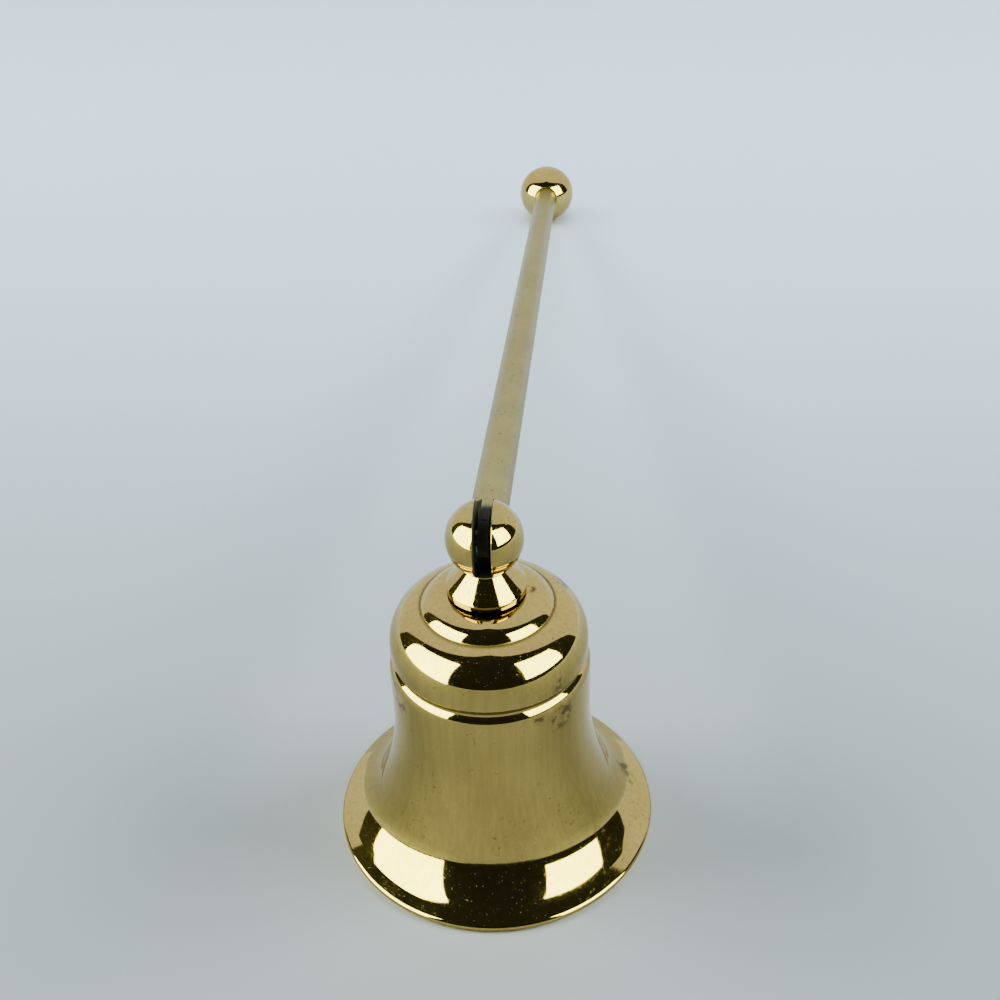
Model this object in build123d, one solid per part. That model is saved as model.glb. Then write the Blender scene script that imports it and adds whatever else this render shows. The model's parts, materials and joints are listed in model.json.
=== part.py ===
"""Brass candle snuffer: a flared bell with a hinged rod handle ending in a ball.

Frame: origin at the centre of the bell's mouth on the table, +Z up, handle towards +Y.
Lengths are millimetres and angles degrees. The handle lies at rest with its end ball on the table.
"""
import os
from math import acos, asin, cos, degrees, isclose, radians, sin, sqrt

from build123d import *

# Bell, outside
mouth_radius = 22.0
rim_round = 0.6
lip_run = 1.6
lip_angle = 59.0
flare_angle = 22.0
flare_height = 21.2
body_radius = 13.2
body_round = 1.95
body_round_angle = 50.0
groove_width = 1.05
skirt_height = 31.05
skirt_radius = 12.95
skirt_edge = 0.3
shoulder_angle = 16.0
cove_round = 0.3
crown_edge_angle = 57.0
crown_round = 4.0
crown_flat_radius = 5.1
crown_height = 40.1

# Bell, inside
wall = 1.4
rim_land = 0.9

# Hinge knuckle
stud_radius = 2.0
stud_tip = 0.5
stud_tip_chamfer = 0.3
seat_radius = 3.5
seat_height = 0.4
foot_radius = 5.1
foot_band = 1.2
foot_edge = 0.12
foot_groove_depth = 0.12
foot_groove_width = 0.22
foot_cone_height = 2.35
neck_radius = 2.7
neck_height = 0.22
knuckle_radius = 4.93
slot_width = 2.25
slot_floor_up = 0.12
slot_edge = 0.12

# Hinge pin
pin_radius = 1.0
pin_dome = 0.08
pin_press_clearance = 0.01
pin_running_clearance = 0.05

# Handle
rod_radius = 2.5
tang_thickness = 1.35
tang_shoulder = 6.2
shoulder_chamfer = 0.15
handle_reach = 200.5
end_ball_radius = 6.65
socket_depth = 7.0
socket_clearance = 0.03
socket_floor_gap = 0.2
socket_chamfer = 0.25

# Nut and washer inside the crown
washer_radius = 4.5
washer_thickness = 0.8
washer_clearance = 0.15
nut_across_flats = 7.0
nut_thickness = 2.4
nut_chamfer_angle = 30.0
thread_clearance = 0.05
stud_hole_clearance = 0.15

# Overrun of every cutting solid past the face that it opens
overrun = 1.0


def out(angle):
    """Unit vector in the turning plane, at an angle above the outward direction."""
    return Vector(cos(radians(angle)), sin(radians(angle)))


def turned(*edges):
    """Solid of revolution about Z from a closed outline of radius and height."""
    return revolve(Plane.XZ * make_face(list(edges)), Axis.Z)


def polyline(*points):
    """Straight edges through the points."""
    return [Line(a, b) for a, b in zip(points, points[1:])]


# Crown and shoulder of the bell: a round crown, a cove, then a round shoulder down to the skirt
crown_centre = Vector(crown_flat_radius, crown_height - crown_round)
crown_edge = crown_centre + crown_round * out(90 - crown_edge_angle)
cove_centre = crown_edge + cove_round * out(90 - crown_edge_angle)
cove_end = cove_centre - cove_round * out(90 - shoulder_angle)
shoulder_round = (skirt_radius - cove_end.X) / (1 - sin(radians(shoulder_angle)))
shoulder_rise = shoulder_round * cos(radians(shoulder_angle))
shoulder_centre = Vector(skirt_radius - shoulder_round, cove_end.Y - shoulder_rise)

# Flare of the bell: two tangent arcs and a straight lip, then the rounded rim
rim_centre = Vector(mouth_radius - rim_round, rim_round)
lip_end = rim_centre + rim_round * out(lip_angle)
lip_start = lip_end + lip_run * out(lip_angle + 90)
flare_start = Vector(body_radius, flare_height)
upper_turn = out(0) - out(flare_angle)
lower_turn = out(flare_angle) - out(lip_angle)
flare_span = lip_start - flare_start
turn_scale = upper_turn.X * lower_turn.Y - upper_turn.Y * lower_turn.X
flare_upper_round = (flare_span.X * lower_turn.Y - flare_span.Y * lower_turn.X) / turn_scale
flare_lower_round = (upper_turn.X * flare_span.Y - upper_turn.Y * flare_span.X) / turn_scale
flare_upper_centre = flare_start + flare_upper_round * out(0)
flare_lower_centre = flare_upper_centre + (flare_lower_round - flare_upper_round) * out(flare_angle)

# Inside of the bell
bore_radius = body_radius - wall
dome_round = bore_radius - shoulder_centre.X
ceiling_height = shoulder_centre.Y + dome_round
land_radius = mouth_radius - rim_round - rim_land
land_angle = degrees(acos((flare_lower_centre.X - land_radius) / (flare_lower_round + wall)))
stud_hole_radius = stud_radius + stud_hole_clearance

# Knuckle levels, from the crown up
foot_bottom = crown_height + seat_height
foot_top = foot_bottom + foot_band
cone_top = foot_top + foot_cone_height
ball_seat = cone_top + neck_height
pivot_height = ball_seat + sqrt(knuckle_radius**2 - neck_radius**2)
washer_bottom = ceiling_height - washer_thickness
nut_bottom = washer_bottom - nut_thickness
stud_end = nut_bottom - stud_tip

# Handle line at rest: the end ball touches the table
droop = degrees(asin((pivot_height - end_ball_radius) / handle_reach))
handle_place = Pos(0, 0, pivot_height) * Rot(-droop, 0, 0)
eye_radius = sqrt(rod_radius**2 - (tang_thickness / 2) ** 2)
rod_end = handle_reach - end_ball_radius + socket_depth


def bell_outside():
    """Outer outline of the bell, from the stud hole down to the rim's underside."""
    crown_start = Vector(crown_flat_radius, crown_height)
    body_top = skirt_height - groove_width
    body_round_rise = body_round * sin(radians(body_round_angle))
    body_round_centre = Vector(body_radius - body_round, body_top - body_round_rise)
    body_round_start = body_round_centre + body_round * out(body_round_angle)
    body_round_end = Vector(body_radius, body_round_centre.Y)
    groove_top = Vector(body_round_start.X, skirt_height)
    edge_centre = Vector(skirt_radius - skirt_edge, skirt_height + skirt_edge)
    edge_end = edge_centre - skirt_edge * out(90)
    return [
        Line(Vector(stud_hole_radius, crown_height), crown_start),
        CenterArc(crown_centre, crown_round, 90, -crown_edge_angle),
        CenterArc(cove_centre, cove_round, 270 - crown_edge_angle, crown_edge_angle - shoulder_angle),
        CenterArc(shoulder_centre, shoulder_round, 90 - shoulder_angle, shoulder_angle - 90),
        Line(Vector(skirt_radius, shoulder_centre.Y), edge_centre + skirt_edge * out(0)),
        CenterArc(edge_centre, skirt_edge, 0, -90),
        *polyline(edge_end, groove_top, body_round_start),
        CenterArc(body_round_centre, body_round, body_round_angle, -body_round_angle),
        Line(body_round_end, flare_start),
        CenterArc(flare_upper_centre, flare_upper_round, 180, flare_angle),
        CenterArc(flare_lower_centre, flare_lower_round, 180 + flare_angle, lip_angle - flare_angle),
        Line(lip_start, lip_end),
        CenterArc(rim_centre, rim_round, lip_angle, -lip_angle - 90),
    ]


def bell_cup():
    """Turned bell: stepped crown, straight body and flared mouth with an even wall."""
    land_top = flare_lower_centre - (flare_lower_round + wall) * out(land_angle)
    inside = [
        *polyline(Vector(mouth_radius - rim_round, 0), Vector(land_radius, 0), land_top),
        CenterArc(flare_lower_centre, flare_lower_round + wall, 180 + land_angle, flare_angle - land_angle),
        CenterArc(flare_upper_centre, flare_upper_round + wall, 180 + flare_angle, -flare_angle),
        Line(Vector(bore_radius, flare_height), Vector(bore_radius, shoulder_centre.Y)),
        CenterArc(shoulder_centre, dome_round, 0, 90),
        *polyline(
            Vector(shoulder_centre.X, ceiling_height),
            Vector(stud_hole_radius, ceiling_height),
            Vector(stud_hole_radius, crown_height),
        ),
    ]
    return turned(*bell_outside(), *inside)


def hinge_knuckle():
    """Slotted ball on a coned foot, turned in one piece with its threaded stud."""
    cone_foot = foot_radius - foot_edge
    groove_top = foot_top - foot_edge
    groove_bottom = groove_top - foot_groove_width
    groove_root = Vector(foot_radius - foot_groove_depth, (groove_top + groove_bottom) / 2)
    stem = turned(
        *polyline(
            Vector(0, stud_end),
            Vector(stud_radius - stud_tip_chamfer, stud_end),
            Vector(stud_radius, stud_end + stud_tip_chamfer),
            Vector(stud_radius, crown_height),
            Vector(seat_radius, crown_height),
            Vector(seat_radius, foot_bottom),
            Vector(foot_radius - foot_edge, foot_bottom),
            Vector(foot_radius, foot_bottom + foot_edge),
            Vector(foot_radius, groove_bottom),
            groove_root,
            Vector(foot_radius, groove_top),
            Vector(cone_foot, foot_top),
            Vector(neck_radius, cone_top),
            Vector(neck_radius, ball_seat),
            Vector(0, ball_seat),
            Vector(0, stud_end),
        )
    )
    ball = Pos(0, 0, pivot_height) * Sphere(knuckle_radius)
    slot_floor = cone_top + slot_floor_up
    slot_height = pivot_height + knuckle_radius + overrun - slot_floor
    slot_length = 2 * (knuckle_radius + overrun)
    slot = Pos(0, 0, slot_floor) * Box(
        slot_width, slot_length, slot_height, align=(Align.CENTER, Align.CENTER, Align.MIN)
    )
    hole_radius = pin_radius + pin_press_clearance
    hole = Pos(0, 0, pivot_height) * Rot(0, 90, 0) * Cylinder(hole_radius, slot_length)
    knuckle = stem + ball - slot
    slot_wall = slot_width / 2
    on_slot_wall = knuckle.edges().filter_by(lambda edge: isclose(abs(edge.center().X), slot_wall))
    rims = on_slot_wall.filter_by(GeomType.CIRCLE).filter_by(lambda edge: edge.radius > neck_radius)
    return chamfer(rims, slot_edge) - hole


def hinge_pin():
    """Cross pin through the ball, with low domed ends flush with the ball's surface."""
    half = sqrt(knuckle_radius**2 - pin_radius**2)
    tip = half + pin_dome
    cap_round = (pin_radius**2 + pin_dome**2) / (2 * pin_dome)
    cap_angle = degrees(asin(pin_radius / cap_round))
    pin = turned(
        Line(Vector(pin_radius, -half), Vector(pin_radius, half)),
        CenterArc(Vector(0, tip - cap_round), cap_round, 90 - cap_angle, cap_angle),
        Line(Vector(0, tip), Vector(0, -tip)),
        CenterArc(Vector(0, cap_round - tip), cap_round, 270, cap_angle),
    )
    return Pos(0, 0, pivot_height) * Rot(0, 90, 0) * pin


def handle_rod():
    """Round rod whose near end is milled to a flat tang with a rounded eye."""
    along = Rot(-90, 0, 0)
    from_foot = (Align.CENTER, Align.CENTER, Align.MIN)
    rod = along * Pos(0, 0, tang_shoulder) * Cylinder(rod_radius, rod_end - tang_shoulder, align=from_foot)
    rod = chamfer(rod.edges().group_by(Axis.Y)[0], shoulder_chamfer)
    blank = along * Cylinder(rod_radius, tang_shoulder + overrun, align=from_foot)
    slab = Box(
        tang_thickness, tang_shoulder + overrun, 2 * rod_radius, align=(Align.CENTER, Align.MIN, Align.CENTER)
    )
    eye = Rot(0, 90, 0) * Cylinder(eye_radius, tang_thickness)
    eye_hole = Rot(0, 90, 0) * Cylinder(pin_radius + pin_running_clearance, tang_thickness + overrun)
    return handle_place * (rod + (blank & slab) + eye - eye_hole)


def end_ball():
    """Plain ball with a blind socket for the rod's end."""
    along = Rot(-90, 0, 0)
    socket_radius = rod_radius + socket_clearance
    socket_mouth = handle_reach - sqrt(end_ball_radius**2 - socket_radius**2)
    socket_floor = rod_end + socket_floor_gap
    socket_start = handle_reach - end_ball_radius - overrun
    ball = Pos(0, handle_reach, 0) * Sphere(end_ball_radius)
    socket = along * Pos(0, 0, socket_start) * Cylinder(
        socket_radius, socket_floor - socket_start, align=(Align.CENTER, Align.CENTER, Align.MIN)
    )
    flare = along * Pos(0, 0, socket_mouth - socket_chamfer) * Cone(
        socket_radius + 2 * socket_chamfer, socket_radius, 2 * socket_chamfer,
        align=(Align.CENTER, Align.CENTER, Align.MIN),
    )
    return handle_place * (ball - socket - flare)


def crown_washer():
    """Plain washer between the nut and the inside of the crown."""
    hole_radius = stud_radius + washer_clearance
    return turned(
        *polyline(
            Vector(hole_radius, washer_bottom),
            Vector(washer_radius, washer_bottom),
            Vector(washer_radius, ceiling_height),
            Vector(hole_radius, ceiling_height),
            Vector(hole_radius, washer_bottom),
        )
    )


def crown_nut():
    """Hexagon nut with its corners turned down on the open side."""
    flat = nut_across_flats / 2
    corner = flat / cos(radians(30))
    drop = (corner - flat) * sin(radians(nut_chamfer_angle)) / cos(radians(nut_chamfer_angle))
    prism = Pos(0, 0, nut_bottom) * extrude(RegularPolygon(flat, 6, major_radius=False), nut_thickness)
    blank = turned(
        *polyline(
            Vector(0, nut_bottom),
            Vector(flat, nut_bottom),
            Vector(corner, nut_bottom + drop),
            Vector(corner, washer_bottom),
            Vector(0, washer_bottom),
            Vector(0, nut_bottom),
        )
    )
    hole = Pos(0, 0, nut_bottom) * Cylinder(stud_radius + thread_clearance, 2 * nut_thickness + overrun)
    return (prism & blank) - hole


nodes = {
    "bell_cup": bell_cup,
    "hinge_knuckle": hinge_knuckle,
    "hinge_pin": hinge_pin,
    "handle_rod": handle_rod,
    "end_ball": end_ball,
    "crown_washer": crown_washer,
    "crown_nut": crown_nut,
}

os.makedirs("parts", exist_ok=True)
for name, make in nodes.items():
    export_step(make(), f"parts/{name}.step")
print(f"pivot height {pivot_height:.3f} mm, droop at rest {droop:.3f} degrees")
print(f"bore radius {bore_radius:.3f} mm from {flare_height:.3f} to {shoulder_centre.Y:.3f} mm")
print(f"stud end at {stud_end:.3f} mm, ceiling at {ceiling_height:.3f} mm")
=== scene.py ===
import json
from math import cos, pi, radians, sin, sqrt, tan
from typing import NamedTuple

import bpy
from mathutils import Matrix, Vector


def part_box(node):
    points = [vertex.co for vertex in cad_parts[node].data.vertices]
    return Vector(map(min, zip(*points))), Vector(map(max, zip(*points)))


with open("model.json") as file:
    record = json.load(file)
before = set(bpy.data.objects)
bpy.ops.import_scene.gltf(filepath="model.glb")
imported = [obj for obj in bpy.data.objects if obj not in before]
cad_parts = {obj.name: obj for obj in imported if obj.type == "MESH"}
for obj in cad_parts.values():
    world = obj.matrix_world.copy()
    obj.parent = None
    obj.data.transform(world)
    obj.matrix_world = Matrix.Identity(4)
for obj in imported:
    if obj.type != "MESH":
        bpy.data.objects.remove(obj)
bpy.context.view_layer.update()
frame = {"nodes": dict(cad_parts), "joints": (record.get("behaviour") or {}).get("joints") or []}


class Pattern(NamedTuple):
    """A noise: its scale per metre, its detail and roughness, and the values its mask runs between."""

    scale: float
    detail: float = 4.0
    roughness: float = 0.55
    low: float = 0.0
    high: float = 1.0


# Units and places taken from the frame
MM = 0.001
hinge = frame["joints"][0]
pivot = Vector(hinge["pos_m"])
ball_low, ball_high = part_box("end_ball")
handle_line = (ball_low + ball_high) / 2 - pivot
handle_tilt = handle_line.angle(Vector((0, 1, 0)))

# Painted shade in recesses and between parts: the hinge slot, the bell's groove and crease, the ball's
# socket, the tang
slot_half = 1.19 * MM
slot_reach = 4.94 * MM
groove_low = 30.36 * MM
groove_high = 31.2 * MM
groove_shade = 0.88
crease_height = 38.17 * MM
crease_reach = 0.16 * MM
crease_shade = 0.8
socket_inset = 6.2 * MM
socket_fully_shaded = 2.6 * MM
socket_unshaded = 2.9 * MM
socket_line = 0.8
tang_fully_shaded = 4.0 * MM
tang_unshaded = 6.0 * MM
tang_half = 0.66 * MM
tang_shoulder = 6.27 * MM
shoulder_band = 0.1 * MM
# Colour of the painted shade, and the level above which the painted shade turns the metal matte
shade_colour = (0.012, 0.010, 0.008, 1)
full_shade_level = 0.95

# Worn places on the bell: a point on its surface and how far the wear spreads
bell_marks = (
    (Vector((9.7, -8.9, 27.0)) * MM, 2.8 * MM),
    (Vector((9.4, -8.9, 32.3)) * MM, 1.5 * MM),
    (Vector((7.0, -11.1, 28.8)) * MM, 1.3 * MM),
    (Vector((-11.1, -7.2, 26.5)) * MM, 1.8 * MM),
    (Vector((-12.2, -5.2, 27.2)) * MM, 2.4 * MM),
    (Vector((18.6, 5.0, 3.4)) * MM, 2.2 * MM),
    (Vector((19.1, 3.2, 3.2)) * MM, 1.5 * MM),
    (Vector((15.2, -8.9, 5.5)) * MM, 1.6 * MM),
    (Vector((9.4, 5.6, 36.7)) * MM, 2.0 * MM),
    (Vector((5.6, 0.4, 40.0)) * MM, 1.0 * MM),
)

# Polished brass: colours, then tarnish, pits and dust, then the marks of turning and polishing
brass_clean = (0.447, 0.313, 0.093, 1)
brass_dull = (0.352, 0.246, 0.072, 1)
brass_edge_tint = (0.97, 0.92, 0.79, 1)
pit_colour = (0.09, 0.06, 0.02, 1)
dust_colour = (0.55, 0.56, 0.55, 1)
tarnish_clouds = Pattern(90.0, 5.0, low=0.35, high=0.7)
tarnish_patches = Pattern(160.0, 3.0, low=0.45, high=0.68)
tarnish_specks = Pattern(2100.0, 3.0, 0.6, low=0.61, high=0.67)
wear_grain = Pattern(900.0, 5.0, 0.65, low=0.45, high=0.57)
wear_full = 0.7
dust_specks = Pattern(4600.0, 2.0, low=0.70, high=0.75)
speck_strength = 0.75
dust_strength = 0.6
cloud_share = 0.5
streak_share = 0.5
polish_streaks = Pattern(1.0, 3.0, low=0.36, high=0.64)
streak_stretch = (1500, 1500, 50)
streak_depth = 1.2e-6
pit_depth_share = 0.2
turning_lines = Pattern(1.0, 2.0)
turning_stretch = (40, 40, 9000)
turning_depth = 0.25e-6
polish_haze = Pattern(420.0, 6.0)
haze_low, haze_high = 0.02, 0.08
pit_roughness = 0.25
shade_roughness = 0.6
dust_roughness = 0.5

# Drawn rod
rod_clean = (0.375, 0.305, 0.135, 1)
rod_dull = (0.315, 0.258, 0.12, 1)
rod_edge_tint = (0.64, 0.60, 0.53, 1)
rod_speck_colour = (0.14, 0.10, 0.045, 1)
rod_clouds = Pattern(120.0, 5.0, low=0.3, high=0.7)
rod_specks = Pattern(1700.0, 3.0, low=0.63, high=0.68)
drawn_lines = Pattern(1.0, 3.0)
drawn_stretch = (5200, 60, 5200)
drawn_depth = 1.2e-6
rod_smooth, rod_rough = 0.22, 0.40
tang_shade_roughness = 0.5

# Pin, nut and washer
hardware_clean = (0.54, 0.38, 0.12, 1)
hardware_dull = (0.36, 0.25, 0.08, 1)
hardware_clouds = Pattern(300.0, low=0.35, high=0.7)
tool_marks = Pattern(2600.0, 3.0)
tool_smooth, tool_rough = 0.22, 0.42
tool_depth = 2.0e-6

# Camera: place and direction fitted to the photograph's rings, balls and rod
camera_place = Vector((13.8, -135.18, 153.76)) * MM
camera_yaw = radians(-4.94)
camera_pitch = radians(36.264)
camera_roll = radians(-2.179)
camera_lens = 50.27
sensor_width = 36.0

# Windows, which show only in the metal
window_distance = 0.55
window_facing = radians(35)
window_head = 0.715
windows = (
    {"name": "left", "side": -1, "inner": radians(39), "outer": radians(98), "sill": 0.02},
    {"name": "right", "side": 1, "inner": radians(42), "outer": radians(88), "sill": 0.11},
)
window_glow = 23.0
window_glow_colour = (0.85, 1.0, 0.35)

# Fills beside the object and a softbox behind it, which the metal doesn't show
fill_turn = radians(99)
fill_rise = radians(40)
fill_distance = 1.6
fill_wide = 0.9
fill_high = 0.5
fill_radiance = 15.0
fill_colour = (0.88, 0.95, 1.0)
backlight_place = Vector((0.0, 0.27, 0.21))
backlight_wide = 0.9
backlight_high = 0.34
backlight_spread = radians(90)
backlight_radiance = 2.0
backlight_colour = (0.60, 0.79, 1.0)

# Dark surround on the camera's side, pale ceiling all round, faint sky
dome_columns = 60
dome_rows = 24
dome_fall = radians(-3)
surround_distance = 1.3
surround_turn = radians(116)
surround_rise = radians(84)
surround_droop = 1.8
surround_shades = ((0.010, 0.012, 0.012, 1), (0.02, 0.022, 0.02, 1))
surround_mottle = Pattern(4.0, 2.0)
ceiling_distance = 2.0
ceiling_colour = (0.90, 1.0, 1.01, 1)
ceiling_dimming = 0.95
ceiling_mottle = Pattern(1.5, 2.0)
ceiling_glow = 1.45
sky_colour = (0.93, 0.97, 1.0, 1)
sky_strength = 0.06

# Floor, with a faint glow far from the object in place of a backdrop
floor_size = 6.0
floor_shades = ((0.59, 0.66, 0.70, 1), (0.61, 0.68, 0.72, 1))
floor_mottle = Pattern(30.0, 2.0)
floor_roughness = 0.9
floor_sheen = 0.22
backdrop_start = 0.40
backdrop_full = 0.95
backdrop_colour = (0.80, 0.90, 0.95, 1)


class Graph:
    """A material's node tree with short ways to add and join nodes."""

    def __init__(self, name):
        self.material = bpy.data.materials.new(name)
        self.material.use_nodes = True
        self.tree = self.material.node_tree
        self.shader = self.tree.nodes["Principled BSDF"]
        self.place = self.add("ShaderNodeTexCoord").outputs["Object"]

    def add(self, kind, settings=None, **inputs):
        """Adds a node, sets its own settings, then sets or links its inputs by name."""
        made = self.tree.nodes.new(kind)
        for key, value in (settings or {}).items():
            setattr(made, key, value)
        for key, value in inputs.items():
            self.feed(made.inputs[key.replace("_", " ")], value)
        return made

    def feed(self, socket, value):
        """Links an output to a socket, or sets the socket's own value."""
        if isinstance(value, bpy.types.NodeSocket):
            self.tree.links.new(value, socket)
        else:
            socket.default_value = value

    def stretched(self, vector, scale):
        """Coordinates stretched along each axis."""
        return self.add("ShaderNodeMapping", Vector=vector, Scale=scale).outputs["Vector"]

    def noise(self, vector, pattern):
        """A pattern's fractal noise as a value from 0 to 1."""
        made = self.add("ShaderNodeTexNoise", Vector=vector, Scale=pattern.scale)
        made.inputs["Detail"].default_value = pattern.detail
        made.inputs["Roughness"].default_value = pattern.roughness
        return made.outputs["Fac"]

    def mask(self, pattern):
        """A pattern on the object as a mask, 0 up to its low value and 1 from its high value."""
        return self.between(self.noise(self.place, pattern), pattern.low, pattern.high)

    def between(self, value, low, high):
        """A smooth mask that goes from 0 at low to 1 at high."""
        made = self.add("ShaderNodeMapRange", {"interpolation_type": "SMOOTHSTEP"}, Value=value)
        made.inputs["From Min"].default_value = low
        made.inputs["From Max"].default_value = high
        return made.outputs["Result"]

    def remap(self, value, low, high):
        """A value from 0 to 1 stretched to run from low to high."""
        made = self.add("ShaderNodeMapRange", Value=value)
        made.inputs["To Min"].default_value = low
        made.inputs["To Max"].default_value = high
        return made.outputs["Result"]

    def maths(self, operation, a, b):
        """One sum on two values."""
        made = self.add("ShaderNodeMath", {"operation": operation})
        self.feed(made.inputs[0], a)
        self.feed(made.inputs[1], b)
        return made.outputs["Value"]

    def size(self, value):
        """A value without its sign."""
        return self.maths("ABSOLUTE", value, 0.0)

    def mix(self, mask, a, b):
        """Colour a where the mask is 0 and b where it is 1."""
        made = self.add("ShaderNodeMix", {"data_type": "RGBA"})
        self.feed(made.inputs["Factor"], mask)
        self.feed(made.inputs["A"], a)
        self.feed(made.inputs["B"], b)
        return made.outputs["Result"]

    def axes(self, vector):
        """The X, Y and Z of a vector, by name."""
        return self.add("ShaderNodeSeparateXYZ", Vector=vector).outputs

    def distance(self, place):
        """How far each point is from a place on the object, in metres."""
        made = self.add("ShaderNodeVectorMath", {"operation": "DISTANCE"})
        self.feed(made.inputs[0], self.place)
        self.feed(made.inputs[1], place)
        return made.outputs["Value"]

    def bump(self, height, depth, normal=None):
        """A normal raised by a height, with the depth in metres."""
        made = self.add("ShaderNodeBump", Height=height, Distance=depth, Strength=1.0)
        if normal is not None:
            self.feed(made.inputs["Normal"], normal)
        return made.outputs["Normal"]

    def finish(self, colour, roughness, normal, metallic, edge_tint=brass_edge_tint):
        """Feeds the metal shader and returns the material."""
        self.feed(self.shader.inputs["Metallic"], metallic)
        self.feed(self.shader.inputs["Specular Tint"], edge_tint)
        self.feed(self.shader.inputs["Base Color"], colour)
        self.feed(self.shader.inputs["Roughness"], roughness)
        self.feed(self.shader.inputs["Normal"], normal)
        return self.material


def tarnish(g, marks):
    """Masks for tarnish: clouds, dark pits gathered round the worn places, and fine pale dust."""
    clouds = g.mask(tarnish_clouds)
    patches = g.mask(tarnish_patches)
    scattered = g.maths("MULTIPLY", g.mask(tarnish_specks), patches)
    worn = 0.0
    for place, reach in marks:
        closeness = g.maths("SUBTRACT", 1.0, g.maths("DIVIDE", g.distance(place), reach))
        worn = g.maths("MAXIMUM", worn, g.between(closeness, 0.0, wear_full))
    gathered = g.maths("MULTIPLY", worn, g.mask(wear_grain))
    pits = g.maths("MAXIMUM", g.maths("MULTIPLY", scattered, speck_strength), gathered)
    return clouds, pits, g.mask(dust_specks)


def polished_brass(name, marks, shade_mask):
    """Bright brass with tarnish clouds, dark pits, dust, faint upright polishing streaks and painted
    shade in recesses and where parts meet.
    """
    g = Graph(name)
    clouds, pits, dust = tarnish(g, marks)
    streaks = g.noise(g.stretched(g.place, streak_stretch), polish_streaks)
    brushed = g.between(streaks, polish_streaks.low, polish_streaks.high)
    clouded = g.maths("MULTIPLY", clouds, cloud_share)
    tint = g.maths("ADD", clouded, g.maths("MULTIPLY", brushed, streak_share))
    clean = g.mix(tint, brass_clean, brass_dull)
    pitted = g.mix(pits, clean, pit_colour)
    # Painted shade from the given mask, mixed in over the pitted brass
    dark = shade_mask(g)
    pitted_and_shaded = g.mix(dark, pitted, shade_colour)
    dusty = g.maths("MULTIPLY", dust, dust_strength)
    colour = g.mix(dusty, pitted_and_shaded, dust_colour)
    haze = g.remap(g.noise(g.place, polish_haze), haze_low, haze_high)
    rough_pits = g.maths("MULTIPLY", pits, pit_roughness)
    spots = g.maths("ADD", rough_pits, g.maths("MULTIPLY", dark, shade_roughness))
    marred = g.maths("ADD", spots, g.maths("MULTIPLY", dusty, dust_roughness))
    roughness = g.maths("ADD", haze, marred)
    turned = g.noise(g.stretched(g.place, turning_stretch), turning_lines)
    rings = g.bump(turned, turning_depth)
    relief = g.maths("SUBTRACT", streaks, g.maths("MULTIPLY", pits, pit_depth_share))
    normal = g.bump(relief, streak_depth, rings)
    fully_shaded = g.maths("GREATER_THAN", dark, full_shade_level)
    metal = g.maths("SUBTRACT", 1.0, g.maths("MAXIMUM", dusty, fully_shaded))
    return g.finish(colour, roughness, normal, metal)


def shade_on_bell(g):
    """Painted shade in the groove under the skirt and in the crease round the crown."""
    up = g.axes(g.place)["Z"]
    above = g.maths("GREATER_THAN", up, groove_low)
    groove = g.maths("MULTIPLY", above, g.maths("LESS_THAN", up, groove_high))
    off = g.size(g.maths("SUBTRACT", up, crease_height))
    crease = g.maths("MULTIPLY", g.between(off, crease_reach, 0.0), crease_shade)
    return g.maths("MAXIMUM", g.maths("MULTIPLY", groove, groove_shade), crease)


def shade_in_slot(g):
    """Painted shade between the cheeks of the slotted ball."""
    across = g.size(g.axes(g.place)["X"])
    in_slot = g.maths("LESS_THAN", across, slot_half)
    return g.maths("MULTIPLY", in_slot, g.maths("LESS_THAN", g.distance(pivot), slot_reach))


def shade_at_socket(g):
    """Painted shade: a dark line where the rod enters the end ball."""
    mouth = pivot + handle_line * (1 - socket_inset / handle_line.length)
    return g.maths("MULTIPLY", g.between(g.distance(mouth), socket_unshaded, socket_fully_shaded), socket_line)


def shade_on_tang(g, along):
    """Painted shade on the tang in the slot and on the shoulder faces beside it."""
    near = g.distance(pivot)
    place = g.axes(along)
    # Turning the rod level about the origin carries the pivot back by this much
    pivot_back = pivot.z * sin(handle_tilt)
    from_shoulder = g.size(g.maths("SUBTRACT", place["Y"], tang_shoulder - pivot_back))
    at_shoulder = g.maths("LESS_THAN", from_shoulder, shoulder_band)
    shaded = g.maths("MAXIMUM", at_shoulder, g.maths("LESS_THAN", near, slot_reach))
    off_tang = g.maths("GREATER_THAN", g.size(place["X"]), tang_half)
    beside = g.maths("MULTIPLY", off_tang, shaded)
    return g.maths("MAXIMUM", beside, g.between(near, tang_unshaded, tang_fully_shaded))


def satin_brass():
    """Drawn rod worn to a greyish satin, with lengthwise lines, specks and painted shade on the tang."""
    g = Graph("satin_brass")
    about_x = {"rotation_type": "X_AXIS"}
    level = g.add("ShaderNodeVectorRotate", about_x, Vector=g.place, Angle=handle_tilt)
    along = level.outputs["Vector"]
    lines = g.noise(g.stretched(along, drawn_stretch), drawn_lines)
    clean = g.mix(g.mask(rod_clouds), rod_clean, rod_dull)
    specked = g.mix(g.mask(rod_specks), clean, rod_speck_colour)
    # Painted shade on the tang and the shoulder faces
    shaded_tang = shade_on_tang(g, along)
    colour = g.mix(shaded_tang, specked, shade_colour)
    satin = g.remap(lines, rod_smooth, rod_rough)
    roughness = g.maths("ADD", satin, g.maths("MULTIPLY", shaded_tang, tang_shade_roughness))
    normal = g.bump(lines, drawn_depth)
    metal = g.maths("SUBTRACT", 1.0, shaded_tang)
    return g.finish(colour, roughness, normal, metal, rod_edge_tint)


def brass_hardware():
    """Dull machined brass for the pin, nut and washer, with painted shade where the pin crosses the slot.
    """
    g = Graph("brass_hardware")
    clean = g.mix(g.mask(hardware_clouds), hardware_clean, hardware_dull)
    # Painted shade where the pin crosses the slot
    dark = shade_in_slot(g)
    colour = g.mix(dark, clean, shade_colour)
    marks = g.noise(g.place, tool_marks)
    roughness = g.remap(marks, tool_smooth, tool_rough)
    normal = g.bump(marks, tool_depth)
    return g.finish(colour, roughness, normal, g.maths("SUBTRACT", 1.0, dark))


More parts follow.
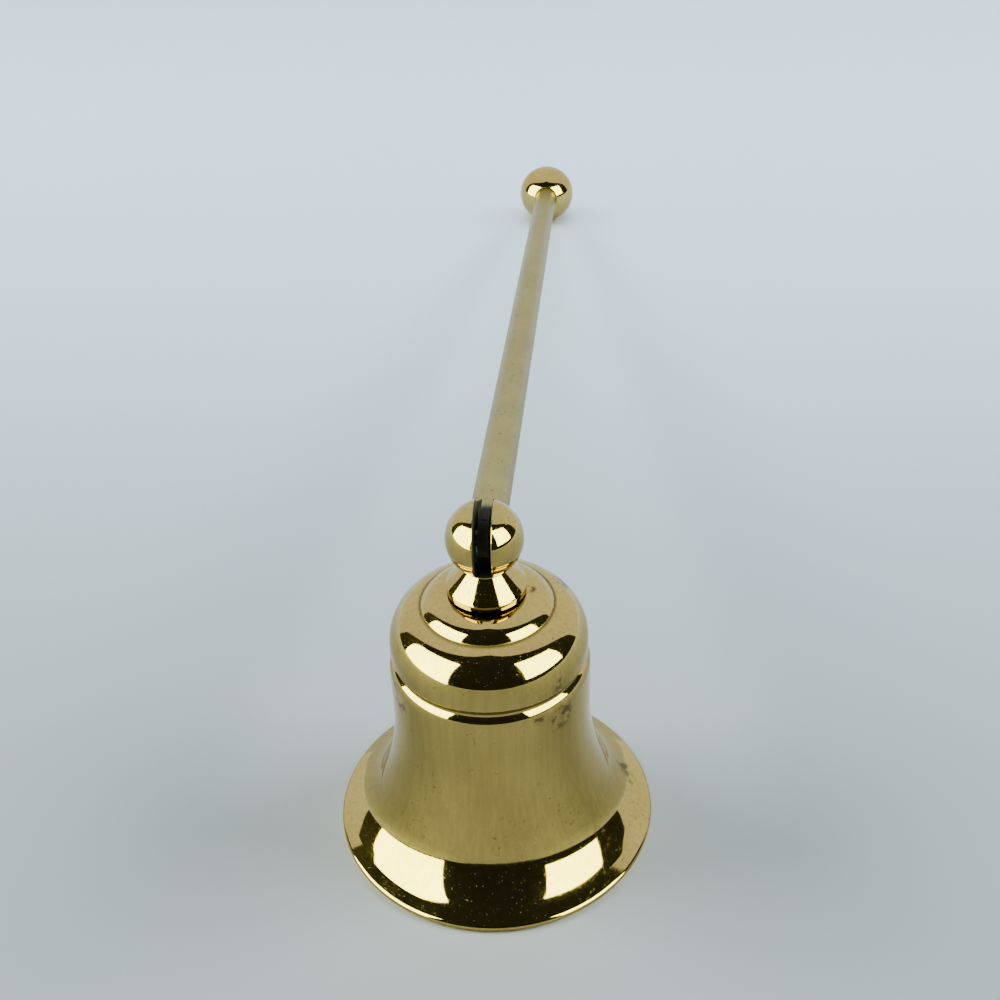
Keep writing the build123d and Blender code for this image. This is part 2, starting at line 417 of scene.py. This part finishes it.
def floor_pale():
    """Plain pale cool white that glows faintly far from the object."""
    g = Graph("floor_pale")
    colour = g.mix(g.noise(g.place, floor_mottle), *floor_shades)
    g.feed(g.shader.inputs["Base Color"], colour)
    g.feed(g.shader.inputs["Roughness"], floor_roughness)
    g.feed(g.shader.inputs["Specular IOR Level"], floor_sheen)
    g.feed(g.shader.inputs["Emission Color"], backdrop_colour)
    far = g.between(g.distance((0, 0, 0)), backdrop_start, backdrop_full)
    g.feed(g.shader.inputs["Emission Strength"], far)
    return g.material


def surround_dark():
    """Plain unlit dark."""
    g = Graph("surround_dark")
    colour = g.mix(g.noise(g.place, surround_mottle), *surround_shades)
    g.feed(g.shader.inputs["Base Color"], colour)
    g.feed(g.shader.inputs["Roughness"], 1.0)
    return g.material


def ceiling_bright():
    """An evenly bright ceiling with faint unevenness."""
    g = Graph("ceiling_bright")
    dimmer = tuple(ceiling_dimming * part for part in ceiling_colour)
    colour = g.mix(g.noise(g.place, ceiling_mottle), ceiling_colour, dimmer)
    g.feed(g.shader.inputs["Base Color"], (0, 0, 0, 1))
    g.feed(g.shader.inputs["Emission Color"], colour)
    g.feed(g.shader.inputs["Emission Strength"], ceiling_glow)
    return g.material


def towards(turn, rise):
    """Unit vector at a turn from the camera's side, positive to the right, and a rise above level."""
    return Vector((sin(turn) * cos(rise), -cos(turn) * cos(rise), sin(rise)))


def link(thing):
    """Puts an object in the scene and returns it."""
    bpy.context.scene.collection.objects.link(thing)
    return thing


def make_camera():
    """The photograph's camera."""
    level = Vector((sin(camera_yaw), cos(camera_yaw), 0))
    ahead = cos(camera_pitch) * level - Vector((0, 0, sin(camera_pitch)))
    level_right = ahead.cross(Vector((0, 0, 1))).normalized()
    level_up = level_right.cross(ahead)
    right = cos(camera_roll) * level_right + sin(camera_roll) * level_up
    up = cos(camera_roll) * level_up - sin(camera_roll) * level_right
    data = bpy.data.cameras.new("camera")
    data.lens = camera_lens
    data.sensor_width = sensor_width
    data.clip_start = MM
    camera = link(bpy.data.objects.new("camera", data))
    turn = Matrix((right, up, -ahead)).transposed().to_4x4()
    camera.matrix_world = Matrix.Translation(camera_place) @ turn
    bpy.context.scene.camera = camera


def make_area_light(name, wide, high, radiance, colour):
    """A rectangular light of even radiance that the camera itself doesn't see."""
    data = bpy.data.lights.new(name, "AREA")
    data.shape = "RECTANGLE"
    data.size = wide
    data.size_y = high
    data.energy = radiance * pi * wide * high
    data.color = colour
    light = link(bpy.data.objects.new(name, data))
    light.visible_camera = False
    return light


def make_window(window):
    """An upright window, turned partly away from the object, that shows only in the metal."""
    side = window["side"]
    facing = towards(side * window_facing, 0)
    along = towards(side * (window_facing + pi / 2), 0)
    near = window_distance * tan(window["inner"] - window_facing)
    far = window_distance * tan(window["outer"] - window_facing)
    sill = window["sill"]
    name = "window_" + window["name"]
    light = make_area_light(name, far - near, window_head - sill, window_glow, window_glow_colour)
    middle = Vector((0, 0, (window_head + sill) / 2))
    light.location = facing * window_distance + along * (near + far) / 2 + middle
    light.rotation_euler = (-facing).to_track_quat("-Z", "Y").to_euler()
    light.visible_diffuse = False


def make_fill(window):
    """Daylight on the floor from a window's side, which the metal doesn't show."""
    name = "fill_" + window["name"]
    light = make_area_light(name, fill_wide, fill_high, fill_radiance, fill_colour)
    away = towards(window["side"] * fill_turn, fill_rise)
    light.location = away * fill_distance
    light.rotation_euler = (-away).to_track_quat("-Z", "Y").to_euler()
    light.visible_glossy = False


def make_backlight():
    """A cool softbox over the far side of the floor, which the metal doesn't show."""
    size = (backlight_wide, backlight_high)
    light = make_area_light("backlight", *size, backlight_radiance, backlight_colour)
    light.location = backlight_place
    light.data.spread = backlight_spread
    light.visible_glossy = False


def make_dome(name, distance, half_turn, top_at, material):
    """Part of a dome round the object, from just under level up to a rise at each turn."""
    points, faces = [], []
    column = dome_rows + 1
    for i in range(dome_columns + 1):
        turn = half_turn * (2 * i / dome_columns - 1)
        for j in range(column):
            rise = dome_fall + (top_at(turn) - dome_fall) * j / dome_rows
            points.append(towards(turn, rise) * distance)
    for i in range(dome_columns):
        for j in range(dome_rows):
            a = i * column + j
            faces.append((a, a + 1, a + column + 1, a + column))
    mesh = bpy.data.meshes.new(name)
    mesh.from_pydata(points, [], faces)
    mesh.materials.append(material)
    dome = link(bpy.data.objects.new(name, mesh))
    dome.visible_diffuse = False
    dome.visible_shadow = False
    return dome


def surround_top(turn):
    """The dark surround's upper edge, highest on the camera's side."""
    return surround_rise * sqrt(1 - abs(turn / surround_turn) ** surround_droop)


def ceiling_top(turn):
    """The ceiling closes overhead at every turn."""
    return pi / 2


def make_surroundings():
    """A pale ceiling all round, and a dark surround on the camera's side that shows only in the metal."""
    make_dome("ceiling", ceiling_distance, pi, ceiling_top, ceiling_bright())
    surround = make_dome("surround", surround_distance, surround_turn, surround_top, surround_dark())
    surround.visible_camera = False


def make_floor():
    """Plain pale floor."""
    half = floor_size / 2
    corners = [(-half, -half, 0), (half, -half, 0), (half, half, 0), (-half, half, 0)]
    mesh = bpy.data.meshes.new("floor")
    mesh.from_pydata(corners, [], [(0, 1, 2, 3)])
    floor = link(bpy.data.objects.new("floor", mesh))
    mesh.materials.append(floor_pale())


def make_sky():
    """Faint even light from all round."""
    world = bpy.data.worlds.new("sky")
    bpy.context.scene.world = world
    world.use_nodes = True
    sky = world.node_tree.nodes["Background"]
    sky.inputs["Color"].default_value = sky_colour
    sky.inputs["Strength"].default_value = sky_strength


finishes = {
    "bell_cup": polished_brass("polished_brass_bell", bell_marks, shade_on_bell),
    "hinge_knuckle": polished_brass("polished_brass_hinge", (), shade_in_slot),
    "end_ball": polished_brass("polished_brass_ball", (), shade_at_socket),
    "handle_rod": satin_brass(),
}
hardware = brass_hardware()
for name, node in frame["nodes"].items():
    for each in node.material_slots:
        each.material = finishes.get(name, hardware)

make_camera()
make_sky()
make_floor()
make_surroundings()
make_backlight()
for window in windows:
    make_window(window)
    make_fill(window)
